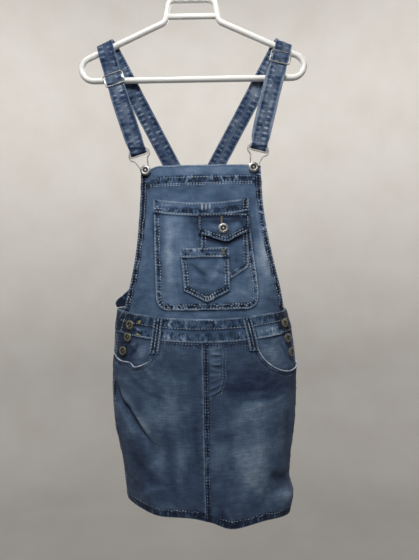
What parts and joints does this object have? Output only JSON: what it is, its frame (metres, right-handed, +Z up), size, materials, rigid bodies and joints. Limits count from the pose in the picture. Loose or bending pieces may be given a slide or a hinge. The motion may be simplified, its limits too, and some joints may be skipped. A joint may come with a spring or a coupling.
{
  "type": "denim dungaree dress on a hanger",
  "caption": "Sleeveless bib dress of washed denim with a straight open skirt, layered bib pockets and buckled straps, hung flat on a plastic tube hanger.",
  "frame": {"origin": "inside top of the hanger's hook, where a rail or nail carries it", "axes": "+Z up, +X to the right seen from the front, the garment's front faces -Y"},
  "size_m": [0.4134, 0.1145, 0.9892],
  "materials": {
    "bib_denim": "mid blue washed cotton twill denim, faded along seams and over the pocket",
    "skirt_denim": "darker blue washed cotton twill denim with soft whisker fades",
    "dark_denim": "unwashed dark blue cotton twill denim",
    "strap_denim": "folded and stitched denim strap, mottled light and dark by washing",
    "white_plastic": "moulded off-white polypropylene tube, soft gloss",
    "nickel": "plated steel wire and pressed buttons, worn bright"
  },
  "bodies": {
    "root": {"bib": "bib_denim", "pocket_large": "bib_denim", "pocket_large_band": "bib_denim", "patch_pocket": "bib_denim", "pocket_small": "bib_denim", "pocket_small_band": "bib_denim", "back_yoke": "bib_denim", "waistband_front": "bib_denim", "waistband_back": "bib_denim", "belt_loop_left": "bib_denim", "belt_loop_right": "bib_denim", "skirt_front_left": "skirt_denim", "skirt_front_right": "skirt_denim", "skirt_back_left": "skirt_denim", "skirt_back_right": "skirt_denim", "pocket_facing_left": "skirt_denim", "pocket_facing_right": "skirt_denim", "pocket_flap": "dark_denim", "placket_left": "dark_denim", "placket_right": "dark_denim", "strap_left": "strap_denim", "strap_right": "strap_denim", "slide_left": "nickel", "slide_right": "nickel", "keeper_left": "nickel", "keeper_right": "nickel", "hook_left": "nickel", "hook_right": "nickel", "bib_button_left": "nickel", "bib_button_right": "nickel", "flap_button": "nickel", "side_button_left_1": "nickel", "side_button_left_2": "nickel", "side_button_left_3": "nickel", "side_button_right_1": "nickel", "side_button_right_2": "nickel", "side_button_right_3": "nickel", "hanger": "white_plastic"}
  },
  "joints": []
}
